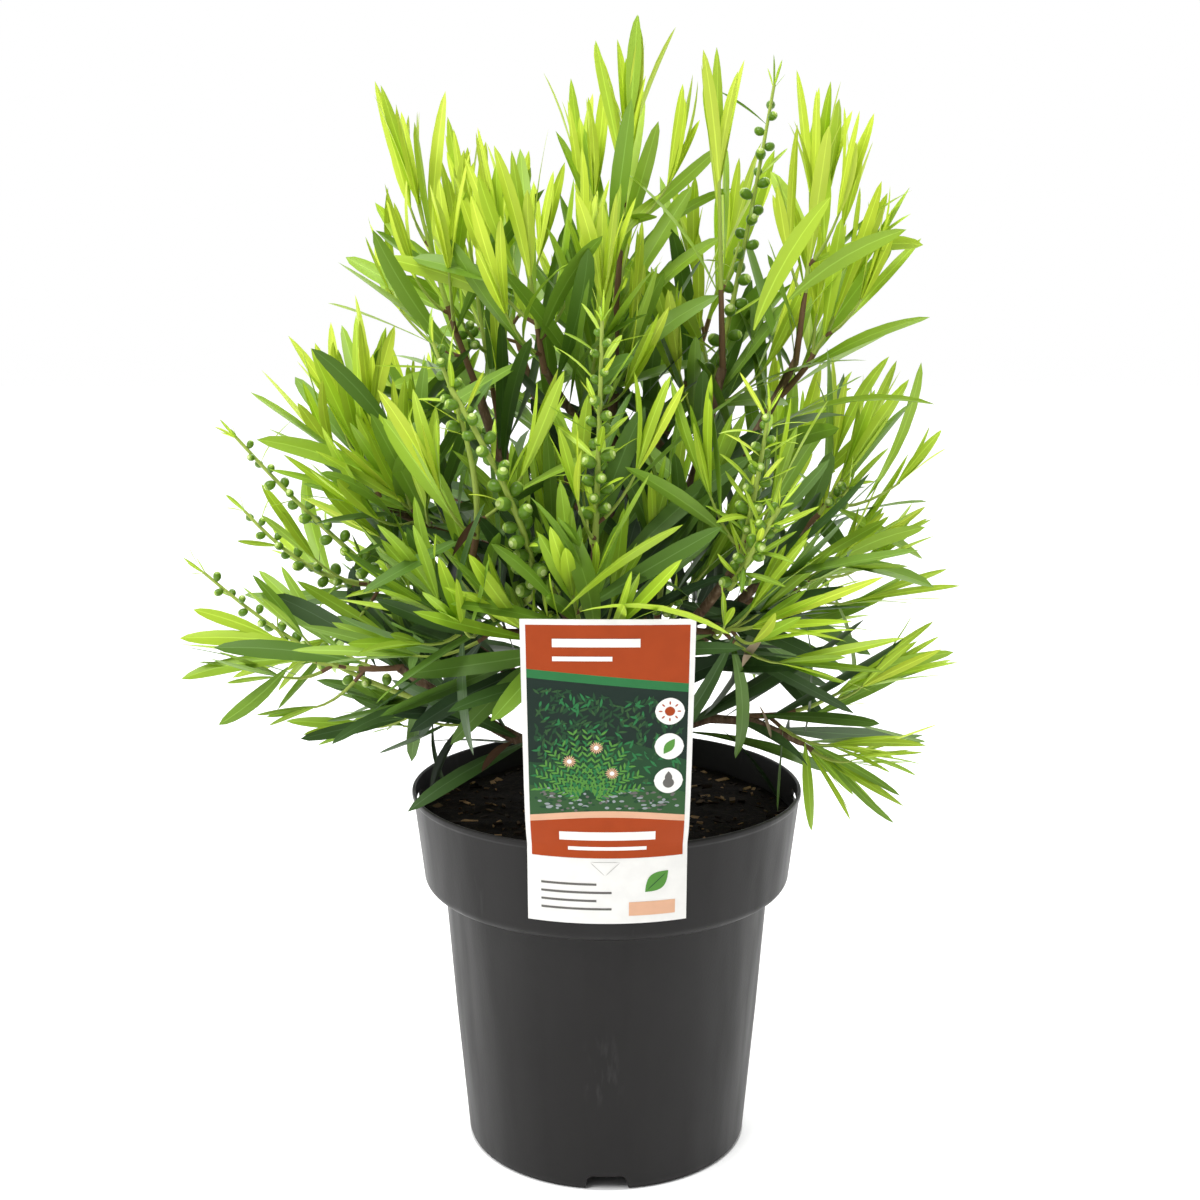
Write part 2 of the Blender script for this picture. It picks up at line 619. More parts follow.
class Parts:
    """Shapes gathered for one mesh. Each shape's faces all have as many corners as the first's."""

    def __init__(self):
        self.points = []
        self.faces = []
        self.slots = []
        self.count = 0

    def add(self, points, faces, slots=0):
        points = np.asarray(points, float).reshape(-1, 3)
        self.points.append(points)
        self.faces.append(np.asarray(faces, int) + self.count)
        self.slots.append(np.broadcast_to(slots, len(faces)))
        self.count += len(points)

    def build(self, name, surfaces, smooth=True):
        mesh = bpy.data.meshes.new(name)
        points = np.concatenate(self.points) * MM
        faces = np.concatenate(self.faces)
        corners = faces.shape[1]
        mesh.vertices.add(len(points))
        mesh.vertices.foreach_set("co", points.ravel())
        mesh.loops.add(faces.size)
        mesh.loops.foreach_set("vertex_index", faces.ravel())
        mesh.polygons.add(len(faces))
        mesh.polygons.foreach_set("loop_start", np.arange(len(faces)) * corners)
        mesh.polygons.foreach_set("material_index", np.concatenate(self.slots))
        mesh.polygons.foreach_set("use_smooth", np.full(len(faces), smooth))
        mesh.update(calc_edges=True)
        mesh.validate()
        for surface in surfaces:
            mesh.materials.append(surface)
        return add_object(name, mesh)


def grid_faces(rows, columns, closed=False):
    """Quads of a grid of points, its rows one after another. A closed one joins each row's ends."""
    a, b = np.meshgrid(np.arange(rows - 1), np.arange(columns if closed else columns - 1), indexing="ij")
    right = (b + 1) % columns
    corners = (a * columns + b, a * columns + right, (a + 1) * columns + right, (a + 1) * columns + b)
    return np.stack([c.ravel() for c in corners], axis=1)


# Limbs, by the source's rule


class Limb:
    """A tapering limb along a bowed curve."""

    def __init__(self, start, end, bow, radius, tip_radius, segments):
        middle = (start + end) / 2 - UP * bow * (end - start).length
        self.start, self.end = start, end
        self.radius, self.tip_radius = radius, tip_radius
        self.segments = segments
        self.bend_to(2 * middle - (start + end) / 2)

    def bend_to(self, control):
        """Bows the limb towards a point, from its start and its end."""
        self.control = control
        self.joints = [self.bowed(k / self.segments) for k in range(self.segments + 1)]
        self.length = sum((b - a).length for a, b in zip(self.joints, self.joints[1:]))

    def bowed(self, share):
        rest = 1.0 - share
        return rest * rest * self.start + 2 * rest * share * self.control + share * share * self.end

    def at(self, share):
        """The point of the limb's centre line at a share of its length, in the source's straight segments."""
        place = min(share * self.segments, self.segments - 1e-6)
        k = int(place)
        return self.joints[k].lerp(self.joints[k + 1], place - k)

    def along(self, share):
        rest = 1.0 - share
        return (rest * (self.control - self.start) + share * (self.end - self.control)).normalized()

    def thickness(self, share):
        return self.radius + (self.tip_radius - self.radius) * share


def between(first, last, share):
    return first + (last - first) * share


def side_axes(direction):
    """Two directions square to the given one and to each other."""
    first = direction.cross(UP if abs(direction.z) < 0.9 else Vector((0.0, 1.0, 0.0))).normalized()
    return first, direction.cross(first).normalized()


def around(direction, angle):
    """The direction square to the given one, at an angle round it."""
    u, v = side_axes(direction)
    return math.cos(angle) * u + math.sin(angle) * v


def seat_on(parent, share, towards):
    """Where a limb starts on its parent: at its end face, or on the plane that touches its side."""
    direction = parent.along(share)
    if share >= 1.0:
        return parent.end + direction * CLEAR
    outward = towards - parent.at(share)
    outward = (outward - direction * outward.dot(direction)).normalized()
    return parent.at(share) + outward * (parent.thickness(share) + CLEAR)


def source_limbs():
    """The trunk, boughs and stems where the source has them."""
    limbs = {"trunk": Limb(TRUNK_FOOT, TRUNK_TOP, 0.0, TRUNK_RADIUS, TRUNK_TOP_RADIUS, TRUNK_SEGMENTS)}
    for name, (parent, share, end, radius, tip_radius, bow) in BOUGHS.items():
        end = Vector(end)
        limbs[name] = Limb(seat_on(limbs[parent], share, end), end, bow, radius, tip_radius, BOUGH_SEGMENTS)
    for name, (bough, share, reach, bow) in MASSES.items():
        reach = Vector(reach)
        start = seat_on(limbs[bough], share, reach)
        leaf = SOURCE_SPIKE_LEAF if name in SPIKES else SOURCE_LEAF
        end = reach - (reach - start).normalized() * leaf * LEAF_BEYOND_STEM
        limbs[name] = Limb(start, end, bow, STEM_RADIUS, STEM_TIP_RADIUS, STEM_SEGMENTS)
    return limbs


def rings_along(limb, rings, sides, first=0.0, relief=0.0, flare=0.0):
    """Points of a limb's skin, ring by ring, with relief along its grain and a flare at its foot."""
    points = []
    for k in range(rings + 1):
        share = first + (1.0 - first) * k / rings
        within = max(share, 0.0)
        centre = limb.at(within)
        if share < 0.0:
            centre = limb.start + limb.along(0.0) * share * limb.length
        direction = limb.along(min(within, 1.0))
        radius = limb.thickness(within) + flare * math.exp(-18.0 * within)
        for i in range(sides):
            spoke = around(direction, math.tau * i / sides)
            rough = 0.0
            if relief:
                spot = centre * 0.05 + spoke * 1.7
                fine = noise.noise(spot * 3.1 + Vector((0, 0, share * 9)))
                rough = relief * (noise.noise(spot) + 0.5 * fine)
            points.append(centre + spoke * radius * (1.0 + rough))
    return points


def build_wood(limbs):
    """The trunk and boughs with their bark's relief. Each bough starts inside what it grows from."""
    bark = bark_material()
    for name in ["trunk", *BOUGHS]:
        limb = limbs[name]
        sides, sunk, flare = 14, -(limb.radius + 1.0) / limb.length, BOUGH_FLARE
        if name == "trunk":
            sides, sunk, flare = 20, 0.0, TRUNK_FLARE
        rings = max(10, int(limb.length / BARK_RING))
        parts = Parts()
        skin = rings_along(limb, rings, sides, sunk, BARK_RELIEF, flare)
        parts.add(skin, grid_faces(rings + 1, sides, closed=True))
        hand_over(parts.build(name + "_bark", [bark]), "brown_bark", name)


# Leaves


def leaf_profile(taper):
    """Half the leaf's width at each station, as a share of its greatest: a narrow foot and a point."""
    shape = LEAF_STATIONS ** LEAF_FOOT * (1.0 - LEAF_STATIONS) ** taper
    return np.maximum(shape / shape.max(), 0.09 * (1.0 - LEAF_STATIONS))


def leaf_points(start, direction, inward, size, arch, roll, twist, fold, taper):
    """Points of a leaf in rows of six: its edges, the middles of its halves, and its midrib."""
    length, width = size
    share = LEAF_STATIONS
    d = np.array(direction)
    n = np.array(inward)
    side = np.cross(d, n)
    bend = (arch * share)[:, None]
    tangent = np.cos(bend) * d + np.sin(bend) * n
    normal = np.cos(bend) * n - np.sin(bend) * d
    steps = (tangent[1:] + tangent[:-1]) / 2 * length * np.diff(share)[:, None]
    middle = np.array(start) + np.concatenate([np.zeros((1, 3)), np.cumsum(steps, axis=0)])
    turn = (roll + twist * share)[:, None]
    across = np.cos(turn) * side + np.sin(turn) * normal
    above = np.cos(turn) * normal - np.sin(turn) * side
    half = width / 2 * leaf_profile(taper)
    half[-1] = 0.05
    rib = np.minimum(half * 0.4, MIDRIB * (1.0 - 0.6 * share))
    offsets = np.stack([-half, -half * 0.56, -rib, rib, half * 0.56, half], axis=1)
    rises = np.stack([half, half * 0.42, half * 0.0, half * 0.0, half * 0.42, half], axis=1) * fold
    return middle[:, None] + offsets[..., None] * across[:, None] + rises[..., None] * above[:, None]


LEAF_FACES = grid_faces(len(LEAF_STATIONS), 6)
LEAF_SLOTS = np.tile([0, 0, 1, 0, 0], len(LEAF_STATIONS) - 1)


def crown_reach(point):
    """How far out a point is in the crown: 0 at the axis, 1 at its outline, more beyond it."""
    x, y, z = point
    if not CROWN[0][0] <= z <= CROWN[-1][0]:
        return FAR_OUT
    low, high = next((low, high) for low, high in zip(CROWN, CROWN[1:]) if z <= high[0])
    share = (z - low[0]) / (high[0] - low[0])
    left, right, front, back = [a + (b - a) * share for a, b in zip(low[1:], high[1:])]
    return math.hypot(x / (right if x > 0 else left), y / (back if y > 0 else front))


def in_box(points):
    """Whether a leaf stays within the source's own box, but for a small margin."""
    flat = points.reshape(-1, 3) * MM
    return bool((flat > BOX_LOW).all() and (flat < BOX_HIGH).all())


def clear_of_pot(points):
    """Whether a leaf keeps off the pot, the potting mix and the label."""
    flat = points.reshape(-1, 3)
    radius = np.hypot(flat[:, 0], flat[:, 1])
    if ((flat[:, 2] < SOIL_LEVEL + 3.0) & (radius < RIM_RADIUS + 1.5)).any():
        return False
    if ((flat[:, 2] < POT_HEIGHT + 1.0) & (np.abs(radius - RIM_RADIUS) < 3.5)).any():
        return False
    near = (np.abs(flat[:, 0]) < LABEL_WIDTH / 2 + 1.0) & (flat[:, 2] < LABEL_TOP_Z + 1.0)
    sheet = np.array([label_centre_y(z) for z in flat[near, 2]])
    return not (flat[near, 1] < sheet + 3.0).any()


def clear_of_spikes(points, spikes):
    """Whether a leaf leaves the room free round each flower spike and on its open side."""
    flat = points.reshape(-1, 3)
    for spots, side in spikes:
        away = flat[:, None] - spots
        ahead = away @ side
        beside = np.linalg.norm(away - ahead[..., None] * side, axis=2)
        if ((ahead > -SPIKE_ROOM * 0.6) & (beside < SPIKE_ROOM)).any():
            return False
    return True


class Foliage:
    """All the leaves by tone, the dead ones, the twigs, and the buds."""

    def __init__(self):
        self.leaves = [Parts() for _ in TONES]
        self.stems, self.buds, self.dead = Parts(), Parts(), Parts()
        self.spikes = []
        self.tone_shift = 0.0
        self.width_share = 1.0

    def keep_room(self, limb, first, side):
        """Leaves no leaf in front of a flower spike from a share of its length."""
        self.spikes.append((np.array([limb.at(first + (1.0 - first) * k / 24) for k in range(25)]), side))

    def keep(self, points, tone):
        index = min(len(TONES) - 1, max(0, round(tone)))
        self.leaves[index].add(points, LEAF_FACES, LEAF_SLOTS)

    def has_room(self, points):
        """Whether a leaf stays in the box and the crown, and clear of the pot, the label and the spikes."""
        inside = in_box(points) and crown_reach(points[-1, 0]) <= 1.0 and crown_reach(points[4, 0]) <= 1.0
        return inside and clear_of_pot(points) and clear_of_spikes(points, self.spikes)

    def leaf(self, rng, limb, share, spin, young, size):
        """One leaf on a limb. young runs from 0, an old leaf, to 1."""
        direction = limb.along(share)
        outward = around(direction, spin)
        lean = between(OLD_LEAN, YOUNG_LEAN, young) * rng.uniform(*LEAN_RANGE)
        root = limb.at(share) + outward * limb.thickness(share) * 0.5
        lift = min(1.0, max(0.0, (root.z - LIFT_FROM) / (LIFT_TO - LIFT_FROM)))
        heading = math.cos(lean) * direction + math.sin(lean) * outward
        heading = (heading + UP * (lift * (OLD_LIFT + MORE_YOUNG_LIFT * young) - SINK)).normalized()
        inward = (direction + UP * 0.2 - heading * heading.dot(direction + UP * 0.2)).normalized()
        length = between(OLD_LEAF[0], YOUNG_LEAF[0], young) * size * rng.uniform(*LENGTH_RANGE)
        width = between(OLD_LEAF[1], YOUNG_LEAF[1], young) * size ** 0.5 * rng.uniform(*WIDTH_RANGE)
        width *= self.width_share
        arch = rng.gauss(*ARCH) * (1.0 - 0.55 * young)
        shape = (arch, rng.gauss(0.0, ROLL_SPREAD), rng.uniform(*TWIST_RANGE), rng.uniform(*FOLD_RANGE))
        taper = between(OLD_TAPER, YOUNG_TAPER, young)
        if heading.y < FRONTMOST:
            return
        for _ in range(TRIES):
            points = leaf_points(root, heading, inward, (length, width), *shape, taper)
            if self.has_room(points):
                break
            length *= SHRINK
            width *= SHRINK
        else:
            return
        depth = 1.0 - min(1.0, crown_reach(points[5, 0]))
        light = min(1.0, max(DARKEST, (root.z - LIGHT_FROM) / (LIGHT_TO - LIGHT_FROM)))
        shade = DEPTH_TONES * depth ** 1.2 * (1.0 - 0.75 * max(0.0, light))
        tone = TIP_TONE + AGE_TONES * (1.0 - young) + shade - LIGHT_TONES * light
        self.keep(points, tone + self.tone_shift + rng.gauss(0.0, TONE_SPREAD))

    def clothe(self, rng, limb, first, turn, size, open_to):
        """Leaves all along a limb from a share of it, and a tuft at its tip."""
        count = max(2, round(limb.length * (1.0 - first) / LEAF_SPACING * open_to))
        for k in range(count):
            share = first + (LEAVES_TO - first) * k / (count - 1)
            young = max(0.0, (share - 0.25) / 0.75) ** 1.1
            self.leaf(rng, limb, share, turn + GOLDEN_ANGLE * k + rng.gauss(0, TURN_SPREAD), young, size)
        for k in range(TUFT):
            small = size * (1.0 - TUFT_SHRINK * k / TUFT)
            self.leaf(rng, limb, 0.94 + 0.06 * k / TUFT, turn + GOLDEN_ANGLE * (count + k), 1.0, small)

    def skin(self, limb, sides=6, first=0.0, wood_to=0.0):
        """A stem: brown wood up to a share of it, and green from there."""
        rings = max(5, int(limb.length / 7))
        shares = first + (1.0 - first) * (np.arange(rings) + 0.5) / rings
        slots = np.repeat((shares > wood_to).astype(int), sides)
        points = rings_along(limb, rings, sides, first)
        self.stems.add(points, grid_faces(rings + 1, sides, closed=True), slots)

    def bud(self, rng, limb, share, spin, swell):
        """An oval bud on the spike's stem, with a paler cap at its free end."""
        direction = limb.along(share)
        axis = (around(direction, spin) + direction * rng.uniform(0.3, 0.8)).normalized()
        radius = BUD_RADIUS * swell * rng.uniform(0.86, 1.12) * (1.0 - 0.30 * max(0.0, (share - 0.55) / 0.45))
        centre = limb.at(share) + axis * (limb.thickness(share) + radius * BUD_LENGTH)
        points = []
        for i in range(BUD_ROWS):
            angle = math.pi * i / (BUD_ROWS - 1)
            ring = max(0.02, math.sin(angle)) * radius * (1.0 + 0.12 * math.cos(angle - 2.4))
            for j in range(BUD_SIDES):
                spoke = around(axis, math.tau * j / BUD_SIDES)
                points.append(centre + spoke * ring - axis * math.cos(angle) * radius * BUD_LENGTH)
        self.buds.add(points, grid_faces(BUD_ROWS, BUD_SIDES, closed=True), np.repeat(BUD_SLOTS, BUD_SIDES))

    def spike(self, rng, limb, turn, leaves, swell, first, spacing, tip=5):
        """A flower spike: buds close round the stem, small leaves among them, and a slim tip."""
        count = max(6, round(limb.length * (BUDS_TO - first) / spacing))
        for k in range(count):
            share = first + (BUDS_TO - first) * k / (count - 1)
            self.bud(rng, limb, share, turn + GOLDEN_ANGLE * k + rng.uniform(-0.25, 0.25), swell)
        for k in range(leaves):
            share = first + (0.97 - first) * (k + 0.5) / leaves
            self.small_leaf(rng, limb, share, turn + 1.1 + GOLDEN_ANGLE * k, rng.uniform(35, 72), 1.0)
        for k in range(tip):
            self.small_leaf(rng, limb, 0.99, turn + GOLDEN_ANGLE * k, 8 + 6 * k, 0.62 - 0.07 * k)

    def small_leaf(self, rng, limb, share, spin, lean, size):
        """A spike's small leaf, which leans from the stem by some degrees."""
        direction = limb.along(share)
        outward = around(direction, spin)
        lean = math.radians(lean)
        heading = (math.cos(lean) * direction + math.sin(lean) * outward).normalized()
        inward = (direction - heading * heading.dot(direction) + outward * 0.01).normalized()
        grown = [side * size * rng.uniform(0.7, 1.15) for side in SPIKE_LEAF]
        shape = (rng.uniform(-0.6, 0.3), rng.gauss(0, 0.4), rng.uniform(-0.5, 0.5), 0.2)
        points = leaf_points(limb.at(share), heading, inward, grown, *shape, 0.75)
        if crown_reach(points[-1, 0]) <= 1.02:
            self.keep(points, rng.gauss(1.2, 0.6))

    def leading_leaf(self, limb, reach):
        """The mass's furthest leaf, from its stem's end to the source's reach."""
        heading = (reach - limb.end).normalized()
        inward = side_axes(heading)[0]
        size = ((reach - limb.end).length, YOUNG_LEAF[1] * 0.92)
        self.keep(leaf_points(limb.end, heading, inward, size, 0.0, 0.9, 0.3, 0.15, 0.8), 1.0)


def spike_limb(limbs, name):
    """A flower spike's stem, carried on from the source's nearly to the reach of its leaves."""
    reach = Vector(MASSES[name][2])
    stem = limbs[name]
    end = reach - (reach - stem.start).normalized() * SPIKE_LEAF[0] * 0.5
    bow = SPIKE_SAG.get(name, MASSES[name][3])
    limb = Limb(stem.start, end, bow, STEM_RADIUS, STEM_TIP_RADIUS, SPIKE_SEGMENTS)
    limb.bend_to(limb.control + 2 * SPIKE_PUSH.get(name, Vector()))
    return limb


def open_side(name):
    """The level way that a spike faces, where no leaf covers it."""
    return np.array((0.0, 1.0, 0.0)) if name.startswith("back") else np.array((0.0, -1.0, 0.05))


def grow_mass(foliage, name, limbs):
    """The source's stem and twigs, finer twigs between them, and leaves on all."""
    budding = name in SPIKES
    stem = spike_limb(limbs, name) if budding else limbs[name]
    rng = random.Random(f"{name} {SEED}")
    turn = rng.uniform(0.0, math.tau)
    open_to, foliage.tone_shift, foliage.width_share = GROWTH.get(name, (1.0, 0.0, 1.0))
    foliage.skin(stem, 8, -2.5 / stem.length, SPIKE_WOOD_TO if budding else STEM_WOOD_TO)
    twigs = [(share, TWIG_ANGLE, TWIG_LENGTH) for share in (SPIKE_TWIG_SHARES if budding else TWIG_SHARES)]
    if budding:
        foliage.spike(rng, stem, turn, *SPIKES[name])
    else:
        foliage.clothe(rng, stem, 0.05, turn, 1.0, open_to)
        foliage.leading_leaf(stem, Vector(MASSES[name][2]))
        twigs += [(share, FINE_TWIG_ANGLE, FINE_TWIG_LENGTH) for share in FINE_TWIG_SHARES]
    for k, (share, angle, length) in enumerate(twigs):
        direction = stem.along(share)
        spin = turn + TWIG_TURN + GOLDEN_ANGLE * k
        heading = math.cos(angle) * direction + math.sin(angle) * around(direction, spin)
        length *= rng.uniform(1.0 - TWIG_LENGTH_SPREAD, 1.0 + TWIG_LENGTH_SPREAD)
        start = stem.at(share)
        end = start + length * heading
        if crown_reach(end) > 0.97 or rng.random() > open_to - TWIGS_DROPPED:
            continue
        twig = Limb(start, end, TWIG_BOW, TWIG_RADIUS, TWIG_TIP_RADIUS, TWIG_SEGMENTS)
        foliage.skin(twig, wood_to=TWIG_WOOD_TO)
        foliage.clothe(rng, twig, 0.12, spin, 0.86, open_to)


def lone_leaf(start, end, width, sag, roll):
    """Points of a single leaf between two places, bent down in its middle by an angle."""
    start, end = Vector(start), Vector(end)
    heading = (end - start).normalized()
    inward = side_axes(heading)[1]
    if inward.z > 0:
        inward = -inward
    length = (end - start).length * (1.0 + 0.3 * sag * sag)
    tilted = math.cos(sag / 2) * heading - math.sin(sag / 2) * inward
    across = math.cos(sag / 2) * inward + math.sin(sag / 2) * heading
    return leaf_points(start, tilted, across, (length, width), sag, roll, 0.3, 0.16, 0.66)


def side_spike(points):
    start, control, end = (Vector(point) for point in points)
    limb = Limb(start, end, 0.0, STEM_RADIUS, 1.2, 10)
    limb.bend_to(control)
    return limb


def grow_lone_parts(foliage, limbs):
    """What the photograph shows apart from the shoots: side spikes, sprigs, stray leaves and dead ones."""
    for k, (points, grown) in enumerate(SIDE_SPIKES):
        spike = side_spike(points)
        foliage.skin(spike, 8)
        foliage.spike(random.Random(f"side spike {k}"), spike, 0.4, *grown, tip=4 * k)
    for name, share, heading, buds in SPRIGS:
        start = limbs[name].at(share)
        sprig = Limb(start, start + SPRIG_LENGTH * Vector(heading).normalized(), 0.1, 1.2, 0.8, 3)
        rng = random.Random(f"sprig on {name}")
        foliage.skin(sprig)
        for k in range(buds):
            foliage.bud(rng, sprig, 0.3 + 0.68 * k / (buds - 1), GOLDEN_ANGLE * k, 0.95)
        for k in range(3):
            foliage.small_leaf(rng, sprig, 0.98, GOLDEN_ANGLE * k, 14 + 9 * k, 0.75)
    for tone, *shape in STRAY_LEAVES:
        foliage.keep(lone_leaf(*shape), tone)
    for colour, *shape in DEAD_LEAVES:
        foliage.dead.add(lone_leaf(*shape, 1.0), LEAF_FACES, colour)


def grow_on_boughs(foliage, limbs):
    """Old leaves on the outer part of each bough."""
    first, share_of, spacing = BOUGH_LEAVES
    for name in BOUGHS:
        rng = random.Random(name)
        count = int(limbs[name].length * share_of / spacing)
        for k in range(count):
            spin = rng.uniform(0, math.tau) + GOLDEN_ANGLE * k
            foliage.leaf(rng, limbs[name], first + share_of * k / count, spin, 0.0, 1.0)


def build_foliage(limbs):
    foliage = Foliage()
    for name, (_, _, first, _) in SPIKES.items():
        foliage.keep_room(spike_limb(limbs, name), first + ROOM_FROM, open_side(name))
    for points, (_, _, first, _) in SIDE_SPIKES:
        foliage.keep_room(side_spike(points), first + ROOM_FROM, open_side("front"))
    for name in MASSES:
        grow_mass(foliage, name, limbs)
    foliage.tone_shift, foliage.width_share = 0.0, 1.0
    grow_on_boughs(foliage, limbs)
    grow_lone_parts(foliage, limbs)
    pieces = []
    for parts, (tone, colour) in zip(foliage.leaves, TONES):
        rib = tuple(min(1.0, c * 1.25 + 0.03) for c in colour)
        surfaces = [material(f"leaf_{tone}", colour, 0.46, 0.38), material(f"midrib_{tone}", rib, 0.5, 0.3)]
        pieces.append(parts.build(f"leaves_{tone}", surfaces))
    others = {"twigs": foliage.stems, "dead_leaves": foliage.dead, "flower_buds": foliage.buds}
    for name, parts in others.items():
        pieces.append(parts.build(name, [material(*look) for look in PLANT_LOOKS[name]]))
    hand_over(pieces[0], "green_leaf", *MASSES)
    for piece in pieces[1:]:
        hand_over(piece, "green_leaf")


# The pot


def arc(centre, radius, first, last, steps):
    """Points of an arc in (radius, z), from one angle to another."""
    angles = [first + (last - first) * k / steps for k in range(steps + 1)]
    return [(centre[0] + radius * math.cos(a), centre[1] + radius * math.sin(a)) for a in angles]


def collar_radius(z):
    """The collar's outer radius at a height, under the bead."""
    low = COLLAR_FOOT_Z + COLLAR_ROUNDING
    share = (z - low) / (POT_HEIGHT - BEAD_DEPTH - low)
    return COLLAR_FOOT_RADIUS + share * (RIM_RADIUS - RIM_BEAD - COLLAR_FOOT_RADIUS)


def pot_profile():
    """The pot's outline in (radius, z): from the underside's centre out, up to the rim, and down inside."""
    shoulder = COLLAR_FOOT_Z + WALL
    foot_centre = (COLLAR_FOOT_RADIUS - COLLAR_ROUNDING, COLLAR_FOOT_Z + COLLAR_ROUNDING)
    bead_low = POT_HEIGHT - BEAD_DEPTH
    outside = [
        (0.0, 0.0),
        (DRAIN_INNER_RADIUS - DRAIN_EDGE, 0.0),
        (DRAIN_INNER_RADIUS, DRAIN_EDGE),
        (DRAIN_INNER_RADIUS, DRAIN_HEIGHT),
        (DRAIN_OUTER_RADIUS, DRAIN_HEIGHT),
        (DRAIN_OUTER_RADIUS, DRAIN_EDGE),
        (DRAIN_OUTER_RADIUS + DRAIN_EDGE, 0.0),
        (FOOT_RADIUS - 0.5, 0.0),
        (FOOT_RADIUS + 0.9, 0.9),
        (BODY_FOOT_RADIUS - 0.15, 2.3),
        (BODY_FOOT_RADIUS + 0.1, FOOT_CHAMFER + 1.0),
        (BODY_FOOT_RADIUS + 0.1 + (BODY_TOP_RADIUS - BODY_FOOT_RADIUS) * 0.5, COLLAR_FOOT_Z * 0.5),
        (BODY_TOP_RADIUS - 0.6, COLLAR_FOOT_Z - 3.0),
        (BODY_TOP_RADIUS, COLLAR_FOOT_Z - 0.8),
        (BODY_TOP_RADIUS + 0.8, COLLAR_FOOT_Z),
        *arc(foot_centre, COLLAR_ROUNDING, -math.pi / 2, 0.0, 8),
        (collar_radius(160.0), 160.0),
        (RIM_RADIUS - RIM_BEAD, bead_low - 0.6),
        (RIM_RADIUS - RIM_BEAD + 0.1, bead_low),
        (RIM_RADIUS - 0.15, bead_low + RIM_BEAD * 0.8),
        (RIM_RADIUS, bead_low + RIM_BEAD + 0.4),
    ]
    rim = arc((RIM_RADIUS - LIP, POT_HEIGHT - LIP), LIP, 0.0, math.pi, 8)
    inside = [
        (COLLAR_FOOT_RADIUS - WALL, COLLAR_FOOT_Z + COLLAR_ROUNDING + 1.2),
        (BODY_TOP_RADIUS - WALL, shoulder),
        (BODY_FOOT_RADIUS - WALL, DRAIN_HEIGHT + FLOOR),
        (DRAIN_INNER_RADIUS - FLOOR, DRAIN_HEIGHT + FLOOR),
        (DRAIN_INNER_RADIUS - FLOOR, FLOOR),
        (0.0, FLOOR),
    ]
    return outside + rim + inside


def closed_object(name, shape, surface):
    """An object from the mesh of a closed solid, with its faces turned outwards."""
    bmesh.ops.recalc_face_normals(shape, faces=shape.faces)
    mesh = bpy.data.meshes.new(name)
    shape.to_mesh(mesh)
    shape.free()
    mesh.materials.append(surface)
    return add_object(name, mesh)


def turned(name, profile, sides, surface):
    """A solid of revolution about z from a profile in (radius, z) that runs from axis to axis."""
    shape = bmesh.new()
    corners = [shape.verts.new((r * MM, 0.0, z * MM)) for r, z in profile]
    edges = [shape.edges.new(pair) for pair in zip(corners, corners[1:])]
    bmesh.ops.spin(
        shape, geom=corners + edges, cent=(0, 0, 0), axis=(0, 0, 1),
        angle=math.tau, steps=sides, use_merge=True,
    )
    bmesh.ops.remove_doubles(shape, verts=shape.verts, dist=1e-6)
    return closed_object(name, shape, surface)


def cutter(outline, depth, angle, surface):
    """A prism that is drawn out along x and turned about z."""
    turn = Matrix.Rotation(angle, 4, "Z")
    shape = bmesh.new()
    near = [shape.verts.new(turn @ (Vector(p) * MM)) for p in outline]
    far = [shape.verts.new(turn @ ((Vector(p) + Vector((depth, 0, 0))) * MM)) for p in outline]
    shape.faces.new(near[::-1])
    shape.faces.new(far)
    for i in range(len(outline)):
        j = (i + 1) % len(outline)
        shape.faces.new((near[i], near[j], far[j], far[i]))
    return closed_object("cutter", shape, surface)


def cut(body, tools):
    """Cuts the tools from a body and removes them."""
    group = bpy.data.collections.new("cutters")
    bpy.context.scene.collection.children.link(group)
    for tool in tools:
        group.objects.link(tool)
    boolean = body.modifiers.new("cutters", "BOOLEAN")
    boolean.operation = "DIFFERENCE"
    boolean.operand_type = "COLLECTION"
    boolean.collection = group
    boolean.solver = "EXACT"
    graph = bpy.context.evaluated_depsgraph_get()
    graph.update()
    body.data = bpy.data.meshes.new_from_object(body.evaluated_get(graph))
    body.modifiers.clear()
    bpy.data.collections.remove(group)
    for tool in tools:
        bpy.data.objects.remove(tool)


def build_pot():
    plastic = pot_plastic()
    pot = turned("nursery_pot", pot_profile(), POT_SIDES, plastic)
    foot, top = NOTCH_FOOT_WIDTH / 2, NOTCH_TOP_WIDTH / 2
    shoulder, tip = top + NOTCH_CORNER, top - NOTCH_CORNER * 0.4
    inner = DRAIN_OUTER_RADIUS - NOTCH_FROM
    notch = [
        (inner, -foot, -1.0),
        (inner, foot, -1.0),
        (inner, shoulder, NOTCH_HEIGHT - NOTCH_CORNER),
        (inner, tip, NOTCH_HEIGHT),
        (inner, -tip, NOTCH_HEIGHT),
        (inner, -shoulder, NOTCH_HEIGHT - NOTCH_CORNER),
    ]
    inner, side = RIM_RADIUS - SLOT_FROM, SLOT_WIDTH / 2
    slot = [
        (inner, -side, SLOT_LOW),
        (inner, side, SLOT_LOW),
        (inner, side, SLOT_HIGH),
        (inner, -side, SLOT_HIGH),
    ]
    tools = [cutter(notch, NOTCH_DEPTH, math.tau * (k + 0.5) / NOTCHES, plastic) for k in range(NOTCHES)]
    tools += [cutter(slot, SLOT_DEPTH, math.tau * k / SLOTS, plastic) for k in range(SLOTS)]
    cut(pot, tools)
    pot.data.shade_smooth()
    pot.data.set_sharp_from_angle(angle=SHARP_EDGE)
    hand_over(pot, "charcoal_plastic", "pot")


# The potting mix


